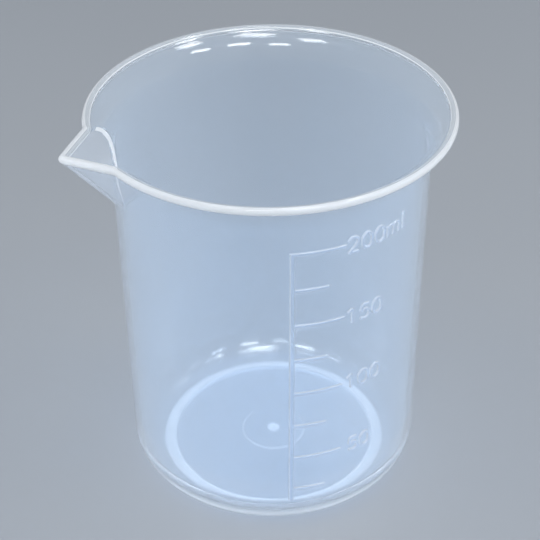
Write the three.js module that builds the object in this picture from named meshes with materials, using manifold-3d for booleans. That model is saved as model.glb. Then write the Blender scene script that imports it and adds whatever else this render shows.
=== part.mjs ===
// Moulded plastic measuring beaker: drafted round wall, rounded base on a foot ring,
// flared lip with a rolled bead, V-shaped pouring spout and a raised graduation scale.
// Millimetres, +Z up. The beaker stands on z = 0, pours towards -X and shows its scale towards -Y.
import * as THREE from 'three';
import { ConvexGeometry } from 'three/addons/geometries/ConvexGeometry.js';
import { mergeVertices } from 'three/addons/utils/BufferGeometryUtils.js';
import Module from 'manifold-3d';

const wasm = await Module();
wasm.setup();

// Wall and base
const overallHeight = 85;
const baseRadius = 31.28;
const wallDraft = THREE.MathUtils.degToRad(0.6);
const wallThickness = 1.2;
const floorThickness = 1.4;
const baseCornerRadius = 6.8;
const footHeight = 1.2;
const footRingWidth = 2.2;

// Mark of the moulding gate, in a shallow round sink under the floor
const gateRadius = 1.2;
const gateLength = 0.6;
const gateSinkRadius = 7;
const gateSinkDepth = 0.3;

// Flared lip and the bead along its edge
const lipOverhang = 4.9;
const lipTurn = THREE.MathUtils.degToRad(70);
const beadProud = 0.25;

// Pouring spout
const spoutOverhang = 6.65;
const spoutWidth = 16.5;
const spoutDepth = 14.6;

// Graduation scale: volumes in millilitres, lengths as seen square on
const markStep = 25;
const markClearance = 3;
const spineEdge = 10.2;
const spineWidth = 0.9;
const spineRise = 1.8;
const longTick = 10;
const shortTick = 6.6;
const tickThickness = 0.8;
const reliefHeight = 0.35;
const reliefSeat = 0.02;

// Fineness of the round surfaces
const wallSegments = 72;
const arcDivisions = 4;
const beadSegments = 14;
const mergeTolerance = 1e-4;
const cutMargin = 1;

const halfWall = wallThickness / 2;
const beadRadius = halfWall + beadProud;
const beadHeight = overallHeight - beadRadius;
const cubicMillimetresPerMillilitre = 1000;

function wallRadius(height) {
  return baseRadius + height * Math.tan(wallDraft);
}

// The lip's middle line is an arc that leaves the wall upright and ends in the bead.
const lipRadius = (lipOverhang + halfWall - beadRadius) / (1 - Math.cos(lipTurn));
const lipStart = beadHeight - lipRadius * Math.sin(lipTurn);
const rimRadius = wallRadius(lipStart) + lipOverhang;
const lipCentre = wallRadius(lipStart) - halfWall + lipRadius;
const beadCentre = rimRadius - beadRadius;
const beadNeck = Math.sqrt(beadRadius ** 2 - halfWall ** 2);
const lipEnd = lipTurn - beadNeck / lipRadius;

// Inside of the floor and its corner
const floorTop = footHeight + floorThickness;
const innerCornerRadius = baseCornerRadius - wallThickness;
const innerCornerTop = floorTop + innerCornerRadius;
const cavityRadius = wallRadius(innerCornerTop) - wallThickness;
const innerCornerCentre = cavityRadius - innerCornerRadius;

// The two flat sides of the spout, as middle planes through the bead line and the keel
const spoutReach = rimRadius + spoutOverhang;
const spoutTip = spoutReach - beadRadius;
const spoutHalfWidth = spoutWidth / 2;
const spoutBend = Math.sqrt(beadCentre ** 2 - spoutHalfWidth ** 2);
const spoutSpread = Math.atan2(spoutHalfWidth, spoutTip - spoutBend);
const keelFoot = overallHeight - spoutDepth;
const keelSlope = (spoutTip - (wallRadius(keelFoot) - halfWall)) / (beadHeight - keelFoot);
const spoutBack = (wallRadius(keelFoot) - wallThickness) * Math.sin(spoutSpread);

function toSolid(geometry) {
  geometry.deleteAttribute('normal');
  geometry.deleteAttribute('uv');
  const merged = mergeVertices(geometry, mergeTolerance);
  const corners = merged.index.array;
  const triangles = [];
  for (let i = 0; i < corners.length; i += 3) {
    const [a, b, c] = corners.slice(i, i + 3);
    if (a !== b && b !== c && c !== a) triangles.push(a, b, c);
  }
  return new wasm.Manifold(new wasm.Mesh({
    numProp: 3,
    vertProperties: new Float32Array(merged.attributes.position.array),
    triVerts: new Uint32Array(triangles),
  }));
}

function toMesh(name, solid, material) {
  const { vertProperties, triVerts } = solid.getMesh();
  const geometry = new THREE.BufferGeometry();
  geometry.setAttribute('position', new THREE.BufferAttribute(vertProperties, 3));
  geometry.setIndex(new THREE.BufferAttribute(triVerts, 1));
  geometry.computeVertexNormals();
  const mesh = new THREE.Mesh(geometry, material);
  mesh.name = name;
  return mesh;
}

// Turns a closed outline of radius and height about the upright axis.
function revolve(outline) {
  const geometry = new THREE.LatheGeometry(outline.getPoints(arcDivisions), wallSegments);
  return toSolid(geometry.rotateX(Math.PI / 2));
}

// Inside surface from the middle of the floor up to the neck of the bead
function traceInside(outline) {
  outline.lineTo(innerCornerCentre, floorTop);
  outline.absarc(innerCornerCentre, innerCornerTop, innerCornerRadius, -Math.PI / 2, 0, false);
  outline.lineTo(wallRadius(lipStart) - wallThickness, lipStart);
  outline.absarc(lipCentre, lipStart, lipRadius + halfWall, Math.PI, Math.PI - lipEnd, true);
}

function makeCavity() {
  const outline = new THREE.Path();
  outline.moveTo(0, floorTop);
  traceInside(outline);
  outline.lineTo(outline.currentPoint.x, overallHeight + cutMargin);
  outline.lineTo(0, overallHeight + cutMargin);
  return revolve(outline);
}

// Whole outside of the beaker as a filled body, with the bead round its edge
function makeFilledBody() {
  const cornerCentre = wallRadius(baseCornerRadius) - baseCornerRadius;
  const footInside = cornerCentre - footRingWidth;
  const sinkTop = footHeight + gateSinkDepth;
  const beadAim = Math.PI / 2 - lipTurn;
  const beadSweep = Math.PI - Math.asin(halfWall / beadRadius);
  const outline = new THREE.Path();
  outline.moveTo(0, sinkTop - gateLength);
  outline.lineTo(gateRadius, sinkTop - gateLength);
  outline.lineTo(gateRadius, sinkTop);
  outline.lineTo(gateSinkRadius, sinkTop);
  outline.lineTo(gateSinkRadius, footHeight);
  outline.lineTo(footInside, footHeight);
  outline.lineTo(footInside, 0);
  outline.lineTo(cornerCentre, 0);
  outline.absarc(cornerCentre, baseCornerRadius, baseCornerRadius, -Math.PI / 2, 0, false);
  outline.lineTo(wallRadius(lipStart), lipStart);
  outline.absarc(lipCentre, lipStart, lipRadius - halfWall, Math.PI, Math.PI - lipEnd, true);
  outline.absarc(beadCentre, beadHeight, beadRadius, beadAim - beadSweep, beadAim + beadSweep, false);
  outline.lineTo(0, outline.currentPoint.y);
  return revolve(outline);
}

// Space between the spout's two flat sides, each moved outwards by an offset, below a level
function makeSpoutWedge(offset, level) {
  const tilt = Math.hypot(1, keelSlope * Math.sin(spoutSpread));
  const sideShift = offset * tilt / Math.sin(spoutSpread);
  const tip = spoutTip + sideShift + (level - beadHeight) * keelSlope;
  const length = tip - spoutBack;
  const halfWidth = length * Math.tan(spoutSpread);
  const wedge = new ConvexGeometry([
    new THREE.Vector3(tip, 0, level),
    new THREE.Vector3(spoutBack, halfWidth, level),
    new THREE.Vector3(spoutBack, -halfWidth, level),
    new THREE.Vector3(spoutBack, 0, level - length / keelSlope),
  ]);
  return toSolid(wedge.rotateZ(Math.PI));
}

// Bead along one edge of the spout, from the bend of the rim to the tip
function makeSpoutBead(side) {
  const bend = new THREE.Vector3(-spoutBend, side * spoutHalfWidth, beadHeight);
  const tip = new THREE.Vector3(-spoutTip, 0, beadHeight);
  const along = tip.clone().sub(bend);
  const length = along.length();
  const capsule = new THREE.CapsuleGeometry(beadRadius, length, arcDivisions, beadSegments);
  const turn = new THREE.Quaternion().setFromUnitVectors(THREE.Object3D.DEFAULT_UP, along.normalize());
  capsule.applyQuaternion(turn);
  capsule.translate((bend.x + tip.x) / 2, bend.y / 2, beadHeight);
  return toSolid(capsule);
}

function makeBody() {
  const spoutTop = beadHeight - beadRadius / 2;
  const spoutHollow = makeSpoutWedge(-halfWall, overallHeight + cutMargin);
  return makeFilledBody()
    .add(makeSpoutWedge(halfWall, spoutTop))
    .subtract(makeCavity())
    .subtract(spoutHollow)
    .add(makeSpoutBead(1))
    .add(makeSpoutBead(-1));
}

function coneVolume(lowRadius, highRadius, height) {
  return Math.PI * (lowRadius ** 2 + lowRadius * highRadius + highRadius ** 2) * height / 3;
}

// Room over the floor up to the top of its rounded corner, summed in slices
function cornerVolume() {
  const corner = new THREE.Path();
  corner.moveTo(0, floorTop);
  corner.lineTo(innerCornerCentre, floorTop);
  corner.absarc(innerCornerCentre, innerCornerTop, innerCornerRadius, -Math.PI / 2, 0, false);
  const rings = corner.getPoints(wallSegments);
  let volume = 0;
  for (let i = 1; i < rings.length; i += 1) {
    const [low, high] = [rings[i - 1], rings[i]];
    volume += coneVolume(low.x, high.x, high.y - low.y);
  }
  return volume;
}

function fillVolume(level) {
  const radius = wallRadius(level) - wallThickness;
  return cornerVolume() + coneVolume(cavityRadius, radius, level - innerCornerTop);
}

function fillHeight(volume) {
  const slope = Math.tan(wallDraft);
  const wallVolume = volume - cornerVolume();
  const radius = Math.cbrt(cavityRadius ** 3 + 3 * slope * wallVolume / Math.PI);
  return innerCornerTop + (radius - cavityRadius) / slope;
}

// Levels of the marks, as many as stay clear of the lip
function markLevels() {
  const step = markStep * cubicMillimetresPerMillilitre;
  const count = Math.floor(fillVolume(lipStart - markClearance) / step);
  return Array.from({ length: count }, (_, mark) => fillHeight((mark + 1) * step));
}

// Spine with one tick at each level: every second tick is long.
function drawScale(levels, spineFoot) {
  const left = -spineEdge;
  const right = left + spineWidth;
  const outline = new THREE.Shape();
  outline.moveTo(left, spineFoot);
  outline.lineTo(right, spineFoot);
  levels.forEach((level, mark) => {
    const end = right + (mark % 2 === 0 ? shortTick : longTick);
    outline.lineTo(right, level - tickThickness / 2);
    outline.lineTo(end, level - tickThickness / 2);
    outline.lineTo(end, level + tickThickness / 2);
    outline.lineTo(right, level + tickThickness / 2);
  });
  outline.lineTo(left, outline.currentPoint.y);
  return outline;
}

// The scale's outline is pressed straight through a thin sleeve that lies on the wall.
function makeScale() {
  const levels = markLevels();
  const spineFoot = baseCornerRadius + spineRise;
  const top = levels.at(-1) + tickThickness;
  const bottom = spineFoot - tickThickness;
  const inside = (height) => wallRadius(height) + reliefSeat;
  const outside = (height) => inside(height) + reliefHeight;
  const sleeve = new THREE.Path();
  sleeve.moveTo(inside(bottom), bottom);
  sleeve.lineTo(outside(bottom), bottom);
  sleeve.lineTo(outside(top), top);
  sleeve.lineTo(inside(top), top);
  sleeve.lineTo(inside(bottom), bottom);
  const depth = outside(top) + cutMargin;
  const outline = drawScale(levels, spineFoot);
  const stamp = new THREE.ExtrudeGeometry(outline, { depth, bevelEnabled: false });
  return revolve(sleeve).intersect(toSolid(stamp.rotateX(Math.PI / 2)));
}

function makePlastic(opacity) {
  return new THREE.MeshStandardMaterial({
    color: 0xd3dfee,
    roughness: 0.3,
    metalness: 0,
    transparent: true,
    opacity,
  });
}

const bodyOpacity = 0.45;
const scaleOpacity = 0.6;

// The origin is the middle of the footprint on the standing plane, so the axis stands off it.
const beaker = new THREE.Group();
beaker.name = 'beaker';
beaker.position.x = (spoutReach - rimRadius) / 2;
beaker.add(toMesh('beaker_body', makeBody(), makePlastic(bodyOpacity)));
beaker.add(toMesh('graduation_scale', makeScale(), makePlastic(scaleOpacity)));

export default beaker;
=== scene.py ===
import math

import bpy
import numpy as np
from mathutils import Matrix, Vector


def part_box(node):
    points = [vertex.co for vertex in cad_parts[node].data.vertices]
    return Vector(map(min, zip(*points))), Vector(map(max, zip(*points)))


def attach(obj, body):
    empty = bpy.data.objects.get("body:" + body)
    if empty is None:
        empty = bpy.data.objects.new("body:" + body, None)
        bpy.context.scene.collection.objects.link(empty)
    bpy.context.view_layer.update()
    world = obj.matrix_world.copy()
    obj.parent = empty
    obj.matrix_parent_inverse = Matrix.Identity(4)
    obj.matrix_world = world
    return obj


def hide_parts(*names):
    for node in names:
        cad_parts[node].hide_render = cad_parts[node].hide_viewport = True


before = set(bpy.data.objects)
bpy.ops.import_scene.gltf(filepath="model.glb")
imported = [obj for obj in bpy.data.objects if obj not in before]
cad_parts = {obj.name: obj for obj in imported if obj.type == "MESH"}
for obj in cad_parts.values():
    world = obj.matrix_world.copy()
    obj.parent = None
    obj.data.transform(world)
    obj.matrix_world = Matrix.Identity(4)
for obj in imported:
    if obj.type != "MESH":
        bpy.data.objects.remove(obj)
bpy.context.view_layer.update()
bodyLow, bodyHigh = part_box("beaker_body")
mm = 0.001
millilitre = 1000  # cubic millimetres
axisX = bodyHigh.x - bodyHigh.y  # the spout makes the footprint longer, so the axis stands off its middle
print("frame loaded, axis of the beaker at x", round(axisX / mm, 2), "mm")


def clearSelection():
    if bpy.context.object and bpy.context.object.mode != "OBJECT":
        bpy.ops.object.mode_set(mode="OBJECT")
    bpy.ops.object.select_all(action="DESELECT")


def makeActive(piece):
    clearSelection()
    piece.select_set(True)
    bpy.context.view_layer.objects.active = piece


def editAll(piece):
    makeActive(piece)
    bpy.ops.object.mode_set(mode="EDIT")
    bpy.ops.mesh.select_all(action="SELECT")


def turnFacesOut(piece):
    editAll(piece)
    bpy.ops.mesh.normals_make_consistent(inside=False)
    bpy.ops.object.mode_set(mode="OBJECT")


def drawLine(name, points):
    # one vertex, extruded from point to point
    clearSelection()
    bpy.ops.mesh.primitive_plane_add(size=mm, location=(0, 0, 0))
    piece = bpy.context.object
    piece.name = name
    bpy.ops.object.mode_set(mode="EDIT")
    bpy.ops.mesh.merge(type="CENTER")
    bpy.ops.transform.translate(value=points[0])
    for start, end in zip(points, points[1:]):
        bpy.ops.mesh.extrude_region_move(TRANSFORM_OT_translate={"value": end - start})
    bpy.ops.object.mode_set(mode="OBJECT")
    return piece


def readPoints(piece):
    points = np.zeros(len(piece.data.vertices) * 3)
    piece.data.vertices.foreach_get("co", points)
    return points.reshape(-1, 3)


def writePoints(piece, points):
    piece.data.vertices.foreach_set("co", points.ravel())
    piece.data.update()


def arc(centre, radius, start, end, steps):
    turns = np.radians(np.linspace(start, end, steps + 1))
    return [(centre[0] + radius * math.cos(t), centre[1] + radius * math.sin(t)) for t in turns]


def smoothStep(share):
    share = np.clip(share, 0, 1)
    return share * share * (3 - 2 * share)


def softMax(a, b, soft):
    share = np.clip(0.5 + 0.5 * (a - b) / soft, 0, 1)
    return b + (a - b) * share + soft * share * (1 - share)


# Beaker shell: one closed section spun round the axis, then the spout pulled out of the lip.
# Lengths in millimetres, angles in degrees.
shell = {
    "height": bodyHigh.z / mm,
    "rimRadius": bodyHigh.y / mm,
    "spoutReach": (axisX - bodyLow.x) / mm,
    "baseRadius": 31.28,
    "draft": 0.6,
    "wall": 1.2,
    "floor": 1.4,
    "corner": 6.8,
    "footHeight": 1.2,
    "footWidth": 2.2,
    "footEdge": 0.35,
    "footArc": -86,  # where the foot ends on the arc of the base corner
    "gateRadius": 1.2,
    "gateLength": 0.6,
    "gateEdge": 0.3,
    "gateFillet": 0.2,
    "sinkRadius": 7.0,
    "sinkDepth": 0.3,
    "stepEdge": 0.25,
    "gateFlat": 0.8,  # radii of rings that keep the flat stretches flat in smooth shading
    "sinkFlat": 3.2,
    "baseFlat": 15,
    "floorFlat": (18, 10, 0),
    "panRise": 0.05,  # height over the floor from which the inside corner is polished
    "lipOverhang": 4.9,
    "lipTurn": 70,
    "bead": 0.85,
    "beadLean": 30,  # middle of its milky outside, whose extra whiteness is a painted glow, below the level
    "beadOuter": 113,  # reach of the milky outside, either way
    "beadNeck": 134,  # where its neck starts, inside: the whiter plastic there is a painted highlight
    "beadTwist": 3,  # stretch over which it turns from the lip to the spout's side
    "spoutWidth": 16.5,
    "spoutDepth": 14.6,
    "spoutSpan": 60,  # the spout's sides count up to here, either way from its keel
    "spoutLeast": 0.1,  # least slant of a side, which keeps its reach finite
    "slopeStep": 0.004,  # step in radians for the slope of the bead's path
    "creaseSoft": 0.4,  # how softly the spout runs into the wall
    "keelSoft": 0.006,  # rounding of the spout's keel, in radians
    "creaseColumn": 14,  # column that follows the crease between spout and wall
    "keelNarrow": 1.2,  # that column comes no nearer to the keel than this
    "keelClear": 1,  # the columns are fully gathered this far below the keel's foot
    "creaseFoot": (-2.8, 0.4),  # whiter plastic either side of that column, at the foot of the crease: haze of thick plastic and a painted highlight
    "creaseHead": (-1.2, 0.2),  # and at its head
    "creaseTop": 83.6,
    "wallRings": 8,  # rings of the plain wall
    "ringsFrom": 64,  # height from which the rings are close
    "ringStep": 0.6,
    "ringClear": 1,  # lowest ring inside stays this far off the inside corner
    "weld": 0.002,
    "sectors": [(-36, -16, 20), (-16, -12, 16), (-12, -4, 16), (-4, 4, 32),  # start, end and columns
                (4, 12, 16), (12, 16, 16), (16, 36, 20), (36, 324, 144)],
}
# plastics of the shell and of what is raised on it, in the order of their material slots
shellPlastics = ["wallPlastic", "rimGlowPlastic", "thickPlastic", "creaseHighlightPlastic", "cornerPlastic",
                 "spoutPlastic", "crownPlastic", "gateHighlightPlastic", "sinkStepHighlightPlastic", "panPlastic", "floorPlastic"]
reliefPlastics = ["reliefPlastic", "reliefEdgeHighlight"]
halfWall = shell["wall"] / 2
floorTop = shell["footHeight"] + shell["floor"]
innerCorner = shell["corner"] - shell["wall"]
innerTop = floorTop + innerCorner
beadHeight = shell["height"] - shell["bead"]
lipTurn = math.radians(shell["lipTurn"])
lipRadius = (shell["lipOverhang"] + halfWall - shell["bead"]) / (1 - math.cos(lipTurn))
lipStart = beadHeight - lipRadius * math.sin(lipTurn)
beadCentre = shell["rimRadius"] - shell["bead"]
neck = math.degrees(math.asin(halfWall / shell["bead"]))
lipEnd = shell["lipTurn"] - math.degrees(shell["bead"] * math.cos(math.radians(neck)) / lipRadius)


def wallRadius(height):
    return shell["baseRadius"] + height * math.tan(math.radians(shell["draft"]))


lipCentre = (wallRadius(lipStart) - halfWall + lipRadius, lipStart)
spoutTip = shell["spoutReach"] - shell["bead"]
spoutBend = math.sqrt(beadCentre ** 2 - (shell["spoutWidth"] / 2) ** 2)
spoutSpread = math.atan2(shell["spoutWidth"] / 2, spoutTip - spoutBend)
keelFoot = shell["height"] - shell["spoutDepth"]
keelSlope = (spoutTip - wallRadius(keelFoot) + halfWall) / (beadHeight - keelFoot)
sideTilt = keelSlope * math.sin(spoutSpread)


def undersideZones():
    # from the gate mark in the middle out to the foot ring and up the base corner
    s = shell
    sinkTop = s["footHeight"] + s["sinkDepth"]
    gateFoot = sinkTop - s["gateLength"]
    gateEdge, fillet, stepEdge, edge = s["gateEdge"], s["gateFillet"], s["stepEdge"], s["footEdge"]
    cornerCentre = wallRadius(s["corner"]) - s["corner"]
    footInside = cornerCentre - s["footWidth"]
    gate = [(0, gateFoot), (s["gateFlat"], gateFoot)]
    gate += arc((s["gateRadius"] - gateEdge, gateFoot + gateEdge), gateEdge, -90, 0, steps=4)
    gate += arc((s["gateRadius"] + fillet, sinkTop - fillet), fillet, 180, 90, steps=3)
    sink = [(s["sinkFlat"], sinkTop), (s["sinkRadius"] - 2 * stepEdge, sinkTop)]
    step = arc((s["sinkRadius"] - stepEdge, sinkTop - stepEdge), stepEdge, 90, 30, steps=3)
    step += arc((s["sinkRadius"] + stepEdge, s["footHeight"] + stepEdge), stepEdge, 210, 270, steps=3)
    base = [(s["sinkRadius"] + 4 * stepEdge, s["footHeight"]), (s["baseFlat"], s["footHeight"])]
    base += arc((footInside - edge, s["footHeight"] - edge), edge, 90, 0, steps=4)
    foot = arc((footInside + edge, edge), edge, 180, 270, steps=5)
    foot += arc((cornerCentre, s["corner"]), s["corner"], -90, s["footArc"], steps=1)
    corner = arc((cornerCentre, s["corner"]), s["corner"], s["footArc"], 0, steps=21)[1:]
    return {"gate": gate, "sink": sink, "step": step, "base": base, "foot": foot, "corner": corner}


def wallZones():
    # up the outside, round the bead and down the inside to the middle of the floor
    s = shell
    innerCentre = wallRadius(innerTop) - s["wall"] - innerCorner
    low = np.linspace(s["corner"], s["ringsFrom"], s["wallRings"] + 1)[1:]
    high = np.linspace(s["ringsFrom"], lipStart, round((lipStart - s["ringsFrom"]) / s["ringStep"]))[1:]
    rises = [*low, *high]
    drops = [z for z in reversed(rises) if z > innerTop + s["ringClear"]][1:]
    aim = 90 - s["lipTurn"]
    pan = arc((innerCentre, innerTop), innerCorner, 0, -90, steps=18)
    pan += [(radius, floorTop) for radius in s["floorFlat"]]
    return {
        "wallOut": [(wallRadius(z), z) for z in rises],
        "lipOut": arc(lipCentre, lipRadius - halfWall, 180, 180 - lipEnd, steps=12)[1:],
        "bead": arc((beadCentre, beadHeight), s["bead"], aim - 180 + neck, aim + 180 - neck, steps=18)[1:],
        "lipIn": arc(lipCentre, lipRadius + halfWall, 180 - lipEnd, 180, steps=12)[1:],
        "wallIn": [(wallRadius(z) - s["wall"], z) for z in drops],
        "pan": pan,
    }


def sectionOutline():
    # radius, height and zone of each point, from the middle of the underside round to the floor's middle
    zones = {**undersideZones(), **wallZones()}
    return [(r, z, zone) for zone, points in zones.items() for r, z in points]


def keelReach(height, offset):
    # distance from the axis to the keel where the spout's flat sides meet, each moved out by an offset
    outward = offset * math.hypot(1, sideTilt) / math.sin(spoutSpread)
    return spoutTip + (height - beadHeight) * keelSlope + outward


def spoutSide(turn, height, offset):
    lean = np.sqrt(np.sin(turn) ** 2 + shell["keelSoft"] ** 2) - shell["keelSoft"] / 2
    slant = math.sin(spoutSpread) * np.cos(turn) + math.cos(spoutSpread) * lean
    reach = keelReach(height, offset) * math.sin(spoutSpread) / np.maximum(slant, shell["spoutLeast"])
    return np.where(np.abs(turn) < math.radians(shell["spoutSpan"]), reach, 0)


def beadPath(turn):
    return softMax(beadCentre, spoutSide(turn, beadHeight, 0), shell["creaseSoft"])


def gatherColumns(turn, radius, height, offset, fade):
    # moves the columns round the axis, so that one of them runs along the crease of spout and wall
    column = math.radians(shell["creaseColumn"])
    edge = math.radians(shell["sectors"][-1][0])
    reach = np.clip(keelReach(height, offset) / radius * math.sin(spoutSpread), 0, 1)
    cut = np.maximum(np.arcsin(reach) - spoutSpread, math.radians(shell["keelNarrow"]))
    cut = column + (cut - column) * fade
    away = np.abs(turn)
    near = away * cut / column
    far = cut + (away - column) * (edge - cut) / (edge - column)
    gathered = np.where(away < column, near, np.where(away < edge, far, away))
    return np.sign(turn) * gathered


def pickBeadPlastic(face):
    away = math.hypot(face.center.x - axisX, face.center.y) / mm - beadCentre
    above = face.center.z / mm - beadHeight
    lean = math.degrees(math.atan2(above, away))
    if abs(lean + shell["beadLean"]) < shell["beadOuter"]:
        return "rimGlowPlastic"
    return "creaseHighlightPlastic" if lean > shell["beadNeck"] else "crownPlastic"


def pickPlastic(face, around):
    # the plastic of a face, from the zones around it: haze gathers where the plastic is thick, and the
    # crease, the gate and the sink's step get whiter plastic as painted highlights
    foot, head = [np.array(shell[k]) for k in ("creaseFoot", "creaseHead")]
    turn = abs(math.degrees(math.atan2(face.center.y, axisX - face.center.x))) - shell["creaseColumn"]
    rise = (face.center.z / mm - keelFoot) / (shell["creaseTop"] - keelFoot)
    low, high = foot + (head - foot) * rise
    if around <= {"bead"}:
        return pickBeadPlastic(face)
    if around <= {"foot"}:
        return "thickPlastic"
    if around <= {"wallIn", "lipIn"} and low < turn < high and 0 < rise < 1:
        return "creaseHighlightPlastic"
    if around <= {"gate"}:
        return "gateHighlightPlastic"
    if around <= {"step"}:
        return "sinkStepHighlightPlastic"
    if around <= {"pan"} and face.center.z / mm > floorTop + shell["panRise"]:
        return "panPlastic"
    if around <= {"pan", "gate", "sink", "step", "base", "foot"}:
        return "floorPlastic"
    if "corner" in around:
        return "cornerPlastic"
    return "spoutPlastic" if turn < low and rise > 0 else "wallPlastic"


def markPlastics(piece, outline):
    zones = [zone for _, _, zone in outline]
    places = [a.value for a in piece.data.attributes["place"].data]
    for face in piece.data.polygons:
        around = {zones[places[v]] for v in face.vertices}
        face.material_index = shellPlastics.index(pickPlastic(face, around))


def pullSpout(piece, outline):
    places = np.zeros(len(piece.data.vertices), int)
    piece.data.attributes["place"].data.foreach_get("value", places)
    zones = np.array([zone for _, _, zone in outline])[places]
    points = readPoints(piece) / mm
    x, y, z = points[:, 0] - axisX / mm, points[:, 1], points[:, 2].copy()
    turn = np.arctan2(y, -x)
    radius = np.hypot(x, y)
    # the sides of the spout come up steeper than the lip, so the bead is turned to meet them
    column = math.radians(shell["creaseColumn"])
    share = smoothStep((column - np.abs(turn)) / math.radians(shell["beadTwist"]) + 0.5)
    steep = math.pi / 2 - math.atan(sideTilt)
    for zone, sign in (("lipOut", 1), ("lipIn", -1)):
        here = zones == zone
        top = z[here].max()
        meet = beadHeight + shell["bead"] * math.sin(steep + math.pi + sign * math.radians(neck))
        z[here] += share[here] * (z[here] - lipStart) / (top - lipStart) * (meet - top)
    # wall and lip swell out to the spout's sides
    gathered = keelFoot - shell["keelClear"]
    for names, offset in ((("wallOut", "lipOut"), halfWall), (("wallIn", "lipIn"), -halfWall)):
        here = np.isin(zones, names)
        fade = smoothStep((z[here] - shell["ringsFrom"]) / (gathered - shell["ringsFrom"]))
        turn[here] = gatherColumns(turn[here], radius[here], z[here], offset, fade)
        side = spoutSide(turn[here], z[here], offset)
        radius[here] = softMax(radius[here], side, shell["creaseSoft"])
    # the bead follows the lip round the bend and out to the tip
    here = zones == "bead"
    turn[here] = gatherColumns(turn[here], beadCentre, beadHeight, 0, 1)
    path, nudge = beadPath(turn), shell["slopeStep"]
    slope = (beadPath(turn + nudge) - beadPath(turn - nudge)) / (2 * nudge)
    stretch = np.hypot(1, slope / path)
    roll = np.arctan2(z - beadHeight, radius - beadCentre) + share * (steep - math.pi / 2 + lipTurn)
    radius[here] = (path + stretch * shell["bead"] * np.cos(roll))[here]
    z[here] = (beadHeight + shell["bead"] * np.sin(roll))[here]
    points[:, 0] = axisX / mm - radius * np.cos(turn)
    points[:, 1] = radius * np.sin(turn)
    points[:, 2] = z
    writePoints(piece, points * mm)


def makeShell():
    outline = sectionOutline()
    first = math.radians(shell["sectors"][0][0])
    section = [(r * mm, z * mm) for r, z, _ in outline]
    line = [Vector((axisX - r * math.cos(first), r * math.sin(first), z)) for r, z in section]
    piece = drawLine("beakerShell", line)
    place = piece.data.attributes.new("place", "INT", "POINT")
    place.data.foreach_set("value", list(range(len(outline))))
    editAll(piece)
    for start, end, steps in shell["sectors"]:
        bpy.ops.mesh.spin(steps=steps, angle=math.radians(end - start), center=(axisX, 0, 0), axis=(0, 0, 1))
    bpy.ops.mesh.select_all(action="SELECT")
    bpy.ops.mesh.remove_doubles(threshold=shell["weld"] * mm)
    bpy.ops.object.mode_set(mode="OBJECT")
    markPlastics(piece, outline)
    pullSpout(piece, outline)
    turnFacesOut(piece)
    bpy.ops.object.shade_smooth()
    piece.data.attributes.remove(piece.data.attributes["place"])
    return piece


beakerShell = makeShell()
print("shell spun and spout pulled,", len(beakerShell.data.polygons), "faces")


# Raised scale: a spine with a tick at every step, every second one long. Millimetres and millilitres.
scaleMarks = {
    "step": 25,
    "marks": 8,
    "slices": 20000,  # thin slices of the cavity that find the height of each mark
    "spineLeft": -10.2,
    "spineRight": -9.3,
    "spineFoot": 8.6,
    "longEnd": 0.7,
    "shortEnd": -2.7,
    "thickness": 0.8,
    "proud": 0.35,
    "sunk": 0.2,
    "edge": 0.16,
    "bendStep": 0.8,
    "smoothAngle": 50,
    "flatTop": 0.9,  # how squarely a face looks out of the wall to count as the flat top
}


def markLevels():
    # heights at which the cavity holds one step more each time, added up from thin slices
    heights = np.linspace(floorTop, lipStart, scaleMarks["slices"] + 1)
    drop = np.maximum(innerTop - heights, 0)
    radius = wallRadius(np.maximum(heights, innerTop)) - shell["wall"]
    radius += np.sqrt(innerCorner ** 2 - drop ** 2) - innerCorner
    slices = np.pi * radius ** 2 * (heights[1] - heights[0])
    volumes = np.cumsum(slices) / millilitre
    marks = scaleMarks["step"] * np.arange(1, scaleMarks["marks"] + 1)
    return np.interp(marks, volumes, heights)


def markEdges(piece):
    # the flat top is as clear as the wall; its edges get a hazier, paler plastic, a painted highlight where
    # they catch the light
    for face in piece.data.polygons:
        flat = abs(face.normal.y) > scaleMarks["flatTop"]
        face.material_index = reliefPlastics.index("reliefPlastic" if flat else "reliefEdgeHighlight")


def pressOnWall(piece):
    # across, up and out of the wall become a place on the drafted wall
    points = readPoints(piece) / mm
    across, out, up = points[:, 0].copy(), -points[:, 1], points[:, 2]
    radius = wallRadius(up) + out
    points[:, 0] = axisX / mm + across
    points[:, 1] = -np.sqrt(radius ** 2 - across ** 2)
    writePoints(piece, points * mm)


def makeScale():
    s = scaleMarks
    corners = [(s["spineLeft"], s["spineFoot"]), (s["spineRight"], s["spineFoot"])]
    for mark, level in enumerate(levels):
        end = s["longEnd"] if mark % 2 else s["shortEnd"]
        low, high = level - s["thickness"] / 2, level + s["thickness"] / 2
        corners += [(s["spineRight"], low), (end, low), (end, high), (s["spineRight"], high)]
    corners.pop()  # the highest tick ends the spine
    corners += [(s["spineLeft"], corners[-1][1])]
    piece = drawLine("raisedScale", [Vector((u, s["sunk"], v)) * mm for u, v in corners])
    editAll(piece)
    bpy.ops.mesh.edge_face_add()
    depth = (s["sunk"] + s["proud"]) * mm
    bpy.ops.mesh.extrude_region_move(TRANSFORM_OT_translate={"value": (0, -depth, 0)})
    bpy.ops.mesh.region_to_loop()
    bpy.ops.mesh.bevel(offset=s["edge"] * mm, segments=3, affect="EDGES")
    for cut in np.arange(s["spineRight"] + s["bendStep"], s["longEnd"], s["bendStep"]):
        bpy.ops.mesh.select_all(action="SELECT")
        bpy.ops.mesh.bisect(plane_co=(cut * mm, 0, 0), plane_no=(1, 0, 0))
    turnFacesOut(piece)
    markEdges(piece)
    pressOnWall(piece)
    makeActive(piece)
    bpy.ops.object.shade_smooth_by_angle(angle=math.radians(s["smoothAngle"]))
    return piece


levels = markLevels()
raisedScale = makeScale()
print("scale pressed on the wall,", len(raisedScale.data.polygons), "faces")
print("marks at heights of", np.round(levels, 2).tolist(), "mm")


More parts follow.
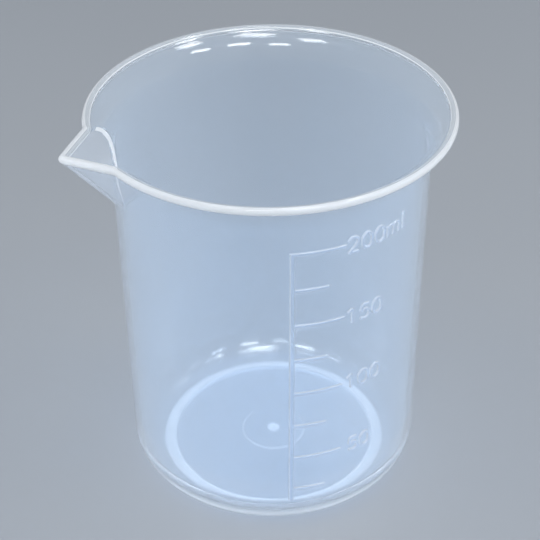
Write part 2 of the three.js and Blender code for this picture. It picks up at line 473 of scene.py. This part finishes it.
# Raised numerals at every second tick, as round strokes. Millimetres.
# Rows hold the word, the number of its tick, where the word starts along the wall and its lift.
numerals = {
    "rows": [("50", 2, 2.5, 0.3), ("100", 4, 1.45, 0.3), ("150", 6, 1.2, -0.1), ("200ml", 8, 1.15, -0.15)],
    "height": 3.4,
    "width": 2.1,
    "gap": 0.98,
    "stroke": 0.74,
    "thinStroke": 0.56,  # of the letters
    "roundness": 3,
    "proud": 0.35,
    "sunk": 0.2,
    "grain": 0.085,
    "easing": 3,
}
# Paths of each glyph's strokes, in shares of the width and the height. A path that ends in "round" closes.
strokes = {
    "0": [[(0.5, 1), (0.06, 0.8), (0, 0.5), (0.06, 0.2), (0.5, 0), (0.94, 0.2), (1, 0.5), (0.94, 0.8),
           "round"]],
    "1": [[(0.1, 0.78), (0.58, 1)], [(0.58, 1), (0.58, 0)]],
    "2": [[(0.03, 0.74), (0.18, 0.93), (0.52, 1), (0.86, 0.92), (0.96, 0.74), (0.8, 0.5), (0, 0)],
          [(0, 0), (1, 0)]],
    "5": [[(0.92, 1), (0.2, 1)], [(0.2, 1), (0.1, 0.54)],
          [(0.1, 0.54), (0.5, 0.63), (0.88, 0.52), (1, 0.31), (0.84, 0.09), (0.46, 0), (0.04, 0.1)]],
    "m": [[(0, 0), (0, 0.72)], [(0, 0.5), (0.16, 0.67), (0.42, 0.72), (0.66, 0.66), (0.75, 0.5), (0.75, 0)],
          [(0.75, 0.5), (0.91, 0.67), (1.17, 0.72), (1.41, 0.66), (1.5, 0.5), (1.5, 0)]],
    "l": [[(0.2, 0), (0.2, 1.1)]],
}
glyphWidth = {"m": 1.5, "l": 0.2}  # all others are one width wide


def drawStroke(path, left, foot, thickness):
    clearSelection()
    bpy.ops.curve.primitive_bezier_curve_add(location=(0, 0, 0))
    stroke = bpy.context.object
    closed = path[-1] == "round"
    path = path[:-1] if closed else path
    line = stroke.data.splines[0]
    line.use_cyclic_u = closed
    line.bezier_points.add(len(path) - 2)
    for knot, (u, v) in zip(line.bezier_points, path):
        knot.co = ((left + u * numerals["width"]) * mm, 0, (foot + v * numerals["height"]) * mm)
        knot.handle_left_type = knot.handle_right_type = "AUTO" if len(path) > 2 else "VECTOR"
    stroke.data.bevel_depth = thickness / 2 * mm
    stroke.data.bevel_resolution = numerals["roundness"]
    stroke.data.use_fill_caps = True
    return stroke


def wrapOnWall(piece, tick):
    points = readPoints(piece) / mm
    turn = points[:, 0] / wallRadius(tick)
    radius = wallRadius(points[:, 2]) - points[:, 1]
    points[:, 0] = axisX / mm + radius * np.sin(turn)
    points[:, 1] = -radius * np.cos(turn)
    writePoints(piece, points * mm)


def makeNumeral(word, mark, left, lift):
    parts = []
    tick = levels[mark - 1]
    foot = tick + lift - numerals["height"] / 2
    for letter in word:
        thickness = numerals["stroke"] if letter.isdigit() else numerals["thinStroke"]
        parts += [drawStroke(path, left, foot, thickness) for path in strokes[letter]]
        left += glyphWidth.get(letter, 1) * numerals["width"] + numerals["gap"]
    clearSelection()
    for part in parts:
        part.select_set(True)
    bpy.context.view_layer.objects.active = parts[0]
    bpy.ops.object.convert(target="MESH")
    bpy.ops.object.join()
    piece = bpy.context.object
    piece.name = "numeral" + word
    bpy.ops.object.transform_apply(location=True, rotation=True, scale=True)
    fuse = piece.modifiers.new("fuse", "REMESH")
    fuse.mode = "VOXEL"
    fuse.voxel_size = numerals["grain"] * mm
    fuse.use_smooth_shade = True
    bpy.ops.object.modifier_apply(modifier=fuse.name)
    ease = piece.modifiers.new("ease", "SMOOTH")
    ease.iterations = numerals["easing"]
    bpy.ops.object.modifier_apply(modifier=ease.name)
    # flat on top like the ticks, and sunk a little into the wall
    points = readPoints(piece)
    points[:, 1] = np.clip(points[:, 1], -numerals["proud"] * mm, numerals["sunk"] * mm)
    writePoints(piece, points)
    markEdges(piece)
    wrapOnWall(piece, tick)
    return piece


numeralPieces = [makeNumeral(*row) for row in numerals["rows"]]
print("numerals raised:", ", ".join(f"{p.name} {len(p.data.polygons)}" for p in numeralPieces))


# Milky moulded plastic: clouds and streaks in the colour, speckle in the gloss, slight waves in the surface.
mouldFinish = {
    "cloud": (55, 3),  # scale and detail of each noise
    "streak": (260, 2),
    "speckle": (700, 2),
    "wave": (120, 2),
    "streakShare": 0.45,  # of streaks in the colour, the rest is clouds
    "glossRange": (0.7, 1.3),
    "waveHeight": 0.4,  # millimetres
    "drawnOut": (1, 1, 0.1),  # the mould draws its marks out along the height
}


def addNoise(nodes, name):
    noise = nodes.new("ShaderNodeTexNoise")
    noise.inputs["Scale"].default_value, noise.inputs["Detail"].default_value = mouldFinish[name]
    return noise


def makeFinishGroup():
    group = bpy.data.node_groups.new("mouldedFinish", "ShaderNodeTree")
    for name, kind in (("Pale", "Color"), ("Deep", "Color"), ("Gloss", "Float"), ("Wave", "Float")):
        group.interface.new_socket(name, in_out="INPUT", socket_type="NodeSocket" + kind)
    for name, kind in (("Color", "Color"), ("Roughness", "Float"), ("Normal", "Vector")):
        group.interface.new_socket(name, in_out="OUTPUT", socket_type="NodeSocket" + kind)
    nodes, links = group.nodes, group.links
    entry, leave = nodes.new("NodeGroupInput"), nodes.new("NodeGroupOutput")
    place = nodes.new("ShaderNodeTexCoord")
    cloud, streak, speckle, wave = [addNoise(nodes, name) for name in ("cloud", "streak", "speckle", "wave")]
    drawn = nodes.new("ShaderNodeMapping")
    drawn.inputs["Scale"].default_value = mouldFinish["drawnOut"]
    mottle = nodes.new("ShaderNodeMix")
    mottle.inputs["Factor"].default_value = mouldFinish["streakShare"]
    tint = nodes.new("ShaderNodeMix")
    tint.data_type = "RGBA"
    gloss = nodes.new("ShaderNodeMapRange")
    gloss.inputs["To Min"].default_value, gloss.inputs["To Max"].default_value = mouldFinish["glossRange"]
    rough = nodes.new("ShaderNodeMath")
    rough.operation = "MULTIPLY"
    bump = nodes.new("ShaderNodeBump")
    bump.inputs["Distance"].default_value = mouldFinish["waveHeight"] * mm
    for node in (cloud, speckle, drawn):
        links.new(place.outputs["Object"], node.inputs["Vector"])
    for noise in (streak, wave):
        links.new(drawn.outputs["Vector"], noise.inputs["Vector"])
    links.new(cloud.outputs["Fac"], mottle.inputs["A"])
    links.new(streak.outputs["Fac"], mottle.inputs["B"])
    links.new(mottle.outputs["Result"], tint.inputs["Factor"])
    links.new(entry.outputs["Deep"], tint.inputs["A"])
    links.new(entry.outputs["Pale"], tint.inputs["B"])
    links.new(speckle.outputs["Fac"], gloss.inputs["Value"])
    links.new(gloss.outputs["Result"], rough.inputs[0])
    links.new(entry.outputs["Gloss"], rough.inputs[1])
    links.new(wave.outputs["Fac"], bump.inputs["Height"])
    links.new(entry.outputs["Wave"], bump.inputs["Strength"])
    links.new(tint.outputs["Result"], leave.inputs["Color"])
    links.new(rough.outputs["Value"], leave.inputs["Roughness"])
    links.new(bump.outputs["Normal"], leave.inputs["Normal"])
    return group


# clear is the share of light let through seen square on, clearEdgeOn seen edge on, clearInside from within.
# edgeSpread is how far the haze of the edge spreads, bend the refraction, gloss the roughness and wave the
# strength of the bump. From the first height of milkyGlowFoot down to the second, in mm, the haze grows:
# thick plastic near the bottom edge, with a painted glow there.
plainLook = {
    "clear": 0.9, "clearEdgeOn": 0.3, "edgeSpread": 0.16, "gloss": 0.06, "wave": 0.08, "bend": 1.49,
    "pale": (0.82, 0.89, 0.97, 1), "deep": (0.77, 0.86, 0.955, 1),
}
# paler, milkier look of thick plastic, also the ground of the painted highlights and glow below
thickAndHighlightLook = {**plainLook, "gloss": 0.09, "pale": (0.92, 0.95, 0.99, 1), "deep": (0.88, 0.93, 0.98, 1)}
reliefLook = {**plainLook, "gloss": 0.1, "wave": 0.05, "bend": 1.3}
floorBend = 1.12  # less than the wall's, so that the foot ring shows through the floor near its real place
plastics = {
    "wallPlastic": plainLook,
    # the bead's outside: thick milky plastic with a painted glow, clear from within
    "rimGlowPlastic": {**thickAndHighlightLook, "clear": 0.36, "clearEdgeOn": 0.1, "edgeSpread": 0.2, "clearInside": 0.9,
                   "pale": (0.94, 0.97, 1.0, 1), "deep": (0.91, 0.95, 0.99, 1)},
    "thickPlastic": {**thickAndHighlightLook, "clear": 0.28, "clearEdgeOn": 0.25, "bend": floorBend},
    # along the inner crease and the bead's inner neck: partly haze of thick plastic, partly a painted
    # highlight
    "creaseHighlightPlastic": {**thickAndHighlightLook, "clear": 0.18, "clearEdgeOn": 0.15, "clearInside": 0.84},
    # the base corner: milkier towards the bottom edge, thick plastic there with a painted glow
    "cornerPlastic": {**plainLook, "clearEdgeOn": 0.2, "edgeSpread": 0.14, "clearInside": 0.92,
                      "milkyGlowFoot": (6.8, 3.0), "pale": (0.86, 0.92, 0.98, 1), "deep": (0.82, 0.89, 0.97, 1)},
    "spoutPlastic": {**plainLook, "clear": 0.88, "clearEdgeOn": 0.45, "edgeSpread": 0.2, "gloss": 0.04,
                     "pale": (0.86, 0.91, 0.97, 1), "deep": (0.82, 0.88, 0.95, 1)},
    "crownPlastic": {**plainLook, "clear": 0.8, "clearEdgeOn": 0.1, "edgeSpread": 0.2, "gloss": 0.07,
                     "pale": (0.9, 0.95, 0.99, 1), "deep": (0.87, 0.93, 0.98, 1)},
    # the gate nub: thicker plastic there, made much whiter as a painted highlight
    "gateHighlightPlastic": {**thickAndHighlightLook, "clear": 0.22, "clearEdgeOn": 0.2, "bend": floorBend},
    # the step round the sink: hazier and paler than the floor, a painted highlight along its edge
    "sinkStepHighlightPlastic": {**thickAndHighlightLook, "clear": 0.56, "clearEdgeOn": 0.5, "bend": floorBend},
    "panPlastic": {**plainLook, "coat": 1.0, "coatGloss": 0.04, "coatBend": 2.0},
    "floorPlastic": {**plainLook, "bend": floorBend},
    "reliefPlastic": {**reliefLook, "clear": 0.88, "clearEdgeOn": 0.8,
                      "pale": (0.84, 0.9, 0.97, 1), "deep": (0.8, 0.87, 0.96, 1)},
    # hazier and paler: a painted highlight on the edges of the relief
    "reliefEdgeHighlight": {**reliefLook, "clear": 0.7, "clearEdgeOn": 0.66,
                   "pale": (0.9, 0.94, 0.99, 1), "deep": (0.86, 0.91, 0.97, 1)},
}
shadowTint = (0.92, 0.94, 0.97, 1)  # what a lamp keeps when it shines through the plastic


def addPlasticShader(nodes, links, finish, look, clear):
    shader = nodes.new("ShaderNodeBsdfPrincipled")
    shader.inputs["Transmission Weight"].default_value = clear
    shader.inputs["IOR"].default_value = look["bend"]
    if "coat" in look:  # polished by the mould
        shader.inputs["Coat Weight"].default_value = look["coat"]
        shader.inputs["Coat Roughness"].default_value = look["coatGloss"]
        shader.inputs["Coat IOR"].default_value = look["coatBend"]
    links.new(finish.outputs["Color"], shader.inputs["Base Color"])
    links.new(finish.outputs["Roughness"], shader.inputs["Roughness"])
    links.new(finish.outputs["Normal"], shader.inputs["Normal"])
    return shader


def blendShaders(nodes, links, share, first, second):
    blend = nodes.new("ShaderNodeMixShader")
    links.new(share, blend.inputs[0])
    links.new(first, blend.inputs[1])
    links.new(second, blend.inputs[2])
    return blend.outputs["Shader"]


def growDown(nodes, links, share, heights):
    # more haze, growing from one height down to the other: a painted glow along the bottom edge of the base,
    # on thick plastic
    place, height = nodes.new("ShaderNodeTexCoord"), nodes.new("ShaderNodeSeparateXYZ")
    grow, both = nodes.new("ShaderNodeMapRange"), nodes.new("ShaderNodeMath")
    grow.interpolation_type = "SMOOTHSTEP"
    for end, z in zip(("From Min", "From Max"), heights):
        grow.inputs[end].default_value = z * mm
    both.use_clamp = True
    links.new(place.outputs["Object"], height.inputs["Vector"])
    links.new(height.outputs["Z"], grow.inputs["Value"])
    links.new(grow.outputs["Result"], both.inputs[0])
    links.new(share, both.inputs[1])
    return both.outputs["Value"]


def makePlastic(name):
    look = plastics[name]
    material = bpy.data.materials.new(name)
    material.use_nodes = True
    nodes, links = material.node_tree.nodes, material.node_tree.links
    nodes.remove(nodes["Principled BSDF"])
    finish = nodes.new("ShaderNodeGroup")
    finish.node_tree = finishGroup
    for socket in ("Pale", "Deep", "Gloss", "Wave"):
        finish.inputs[socket].default_value = look[socket.lower()]
    across = addPlasticShader(nodes, links, finish, look, look["clear"])
    along = addPlasticShader(nodes, links, finish, look, look["clearEdgeOn"])
    edgeOn = nodes.new("ShaderNodeLayerWeight")
    edgeOn.inputs["Blend"].default_value = look["edgeSpread"]
    haze = edgeOn.outputs["Facing"]
    if "milkyGlowFoot" in look:
        haze = growDown(nodes, links, haze, look["milkyGlowFoot"])
    milk = blendShaders(nodes, links, haze, across.outputs["BSDF"], along.outputs["BSDF"])
    # the extra whiteness seen from outside only is a painted glow, on top of the real haze of thick plastic
    if "clearInside" in look:  # milky from outside only
        inside = addPlasticShader(nodes, links, finish, look, look["clearInside"])
        side = nodes.new("ShaderNodeNewGeometry")
        milk = blendShaders(nodes, links, side.outputs["Backfacing"], milk, inside.outputs["BSDF"])
    # lamps shine through the plastic instead of being blocked by it
    path = nodes.new("ShaderNodeLightPath")
    through = nodes.new("ShaderNodeBsdfTransparent")
    through.inputs["Color"].default_value = shadowTint
    seen = blendShaders(nodes, links, path.outputs["Is Shadow Ray"], milk, through.outputs["BSDF"])
    links.new(seen, nodes["Material Output"].inputs["Surface"])
    return material


finishGroup = makeFinishGroup()
reliefPieces = [raisedScale, *numeralPieces]
made = {name: makePlastic(name) for name in plastics}
for name in shellPlastics:
    beakerShell.data.materials.append(made[name])
for piece in reliefPieces:
    for name in reliefPlastics:
        piece.data.materials.append(made[name])
for piece, slot in [(beakerShell, "body_plastic"), *[(p, "scale_plastic") for p in reliefPieces]]:
    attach(piece, "root")
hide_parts("beaker_body")
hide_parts("graduation_scale")
print("plastic laid on", len(reliefPieces) + 1, "pieces")


# Studio: pale table, big soft lamps and a camera at the photo's angle. Metres, watts and degrees.
studio = {
    "table": (0.40, 0.43, 0.47, 1),
    "tableSize": 6,
    "tableDrop": 0.05 * mm,  # keeps the table clear of the foot ring
    "tableRoughness": 0.75,
    "tableShine": 0.2,
    "tableGrain": 9,
    "tablePaler": 1.04,  # how much paler the grain gets
    "worldLight": (0.62, 0.68, 0.76, 1),
    "worldStrength": 0.25,
    "backdrop": (0.42, 0.45, 0.49, 1),  # what the plastic mirrors and what stands behind the table
    "softLamps": [  # name, place, size and power
        ("softFront", (-0.45, -1.0, 0.18), (0.7, 0.3), 4.6),
        ("softLeft", (-0.95, -0.75, 0.7), (0.8, 0.8), 0.4),
        ("softRight", (0.75, -0.95, 0.65), (0.8, 0.8), 0.4),
        ("softBack", (-0.55, 1.0, 0.6), (0.7, 0.5), 1.0),
        ("sideLeft", (-1.0, 0.35, 0.35), (0.5, 0.6), 4.2),
        ("sideRight", (0.95, -0.5, 0.35), (0.5, 0.6), 4.2),
    ],
    "tubeRows": [(-0.1, 0.95), (-0.55, 0.85)],  # y and z of the rows of tubes overhead
    "tubePlaces": [-0.35, 0.03, 0.4],
    "tubeSize": (0.2, 0.12),
    "tubePower": 0.84,
    "lampAim": (0, 0, 0.045),
    "cameraPlace": (-0.10144, -0.22989, 0.22660),
    "heading": 24.5,
    "pitch": 35.63,
    "roll": -0.56,
    "lens": 97.69,  # millimetres, as the sensor
    "sensor": 36,
    "shiftX": -0.00365,
    "clipStart": 0.01,
}


def makeTable():
    clearSelection()
    bpy.ops.mesh.primitive_plane_add(size=studio["tableSize"], location=(0, 0, -studio["tableDrop"]))
    table = bpy.context.object
    table.name = "paleTable"
    material = bpy.data.materials.new("paleTable")
    material.use_nodes = True
    nodes, links = material.node_tree.nodes, material.node_tree.links
    shader = nodes["Principled BSDF"]
    shader.inputs["Roughness"].default_value = studio["tableRoughness"]
    shader.inputs["Specular IOR Level"].default_value = studio["tableShine"]
    place = nodes.new("ShaderNodeTexCoord")
    grain = nodes.new("ShaderNodeTexNoise")
    grain.inputs["Scale"].default_value = studio["tableGrain"]
    tone = nodes.new("ShaderNodeMix")
    tone.data_type = "RGBA"
    tone.inputs["A"].default_value = studio["table"]
    tone.inputs["B"].default_value = [min(1, c * studio["tablePaler"]) for c in studio["table"]]
    links.new(place.outputs["Object"], grain.inputs["Vector"])
    links.new(grain.outputs["Fac"], tone.inputs["Factor"])
    links.new(tone.outputs["Result"], shader.inputs["Base Color"])
    table.data.materials.append(material)


def makeWorld():
    # soft light all round, and a plain backdrop for the camera, the gloss and what shows through the plastic
    world = bpy.data.worlds.new("studioWorld")
    world.use_nodes = True
    nodes, links = world.node_tree.nodes, world.node_tree.links
    light = nodes["Background"]
    light.inputs["Color"].default_value = studio["worldLight"]
    light.inputs["Strength"].default_value = studio["worldStrength"]
    backdrop = nodes.new("ShaderNodeBackground")
    backdrop.inputs["Color"].default_value = studio["backdrop"]
    path = nodes.new("ShaderNodeLightPath")
    mirrored, seen = nodes.new("ShaderNodeMath"), nodes.new("ShaderNodeMath")
    mirrored.operation = seen.operation = "MAXIMUM"
    links.new(path.outputs["Is Glossy Ray"], mirrored.inputs[0])
    links.new(path.outputs["Is Transmission Ray"], mirrored.inputs[1])
    links.new(path.outputs["Is Camera Ray"], seen.inputs[0])
    links.new(mirrored.outputs["Value"], seen.inputs[1])
    lit, plain = light.outputs["Background"], backdrop.outputs["Background"]
    blend = blendShaders(nodes, links, seen.outputs["Value"], lit, plain)
    links.new(blend, nodes["World Output"].inputs["Surface"])
    bpy.context.scene.world = world


def addLamp(name, place, size, power):
    bpy.ops.object.light_add(type="AREA", location=place)
    lamp = bpy.context.object
    lamp.name = name
    lamp.data.shape = "RECTANGLE"
    lamp.data.size, lamp.data.size_y = size
    lamp.data.energy = power
    lamp.rotation_euler = (Vector(studio["lampAim"]) - Vector(place)).to_track_quat("-Z", "Y").to_euler()
    return lamp


def makeLamps():
    for row in studio["softLamps"]:
        lamp = addLamp(*row)
        # lights the haze without a mirror image in the lip
        lamp.visible_glossy = lamp.visible_transmission = False
    for y, z in studio["tubeRows"]:
        for x in studio["tubePlaces"]:
            addLamp("tube", (x, y, z), studio["tubeSize"], studio["tubePower"])


def makeCamera():
    heading, pitch, roll = [math.radians(studio[k]) for k in ("heading", "pitch", "roll")]
    level = math.cos(pitch)
    ahead = Vector((math.sin(heading) * level, math.cos(heading) * level, -math.sin(pitch)))
    right = Vector((math.cos(heading), -math.sin(heading), 0))
    up = right.cross(ahead)
    sideways = right * math.cos(roll) + up * math.sin(roll)
    upward = up * math.cos(roll) - right * math.sin(roll)
    bpy.ops.object.camera_add()
    camera = bpy.context.object
    turn = Matrix((sideways, upward, -ahead)).transposed().to_4x4()
    camera.matrix_world = Matrix.Translation(studio["cameraPlace"]) @ turn
    camera.data.lens = studio["lens"]
    camera.data.sensor_width = studio["sensor"]
    camera.data.shift_x = studio["shiftX"]
    camera.data.clip_start = studio["clipStart"]
    bpy.context.scene.camera = camera


makeTable()
makeWorld()
makeLamps()
makeCamera()
bpy.context.scene.view_settings.view_transform = "Standard"
print("studio and camera set")
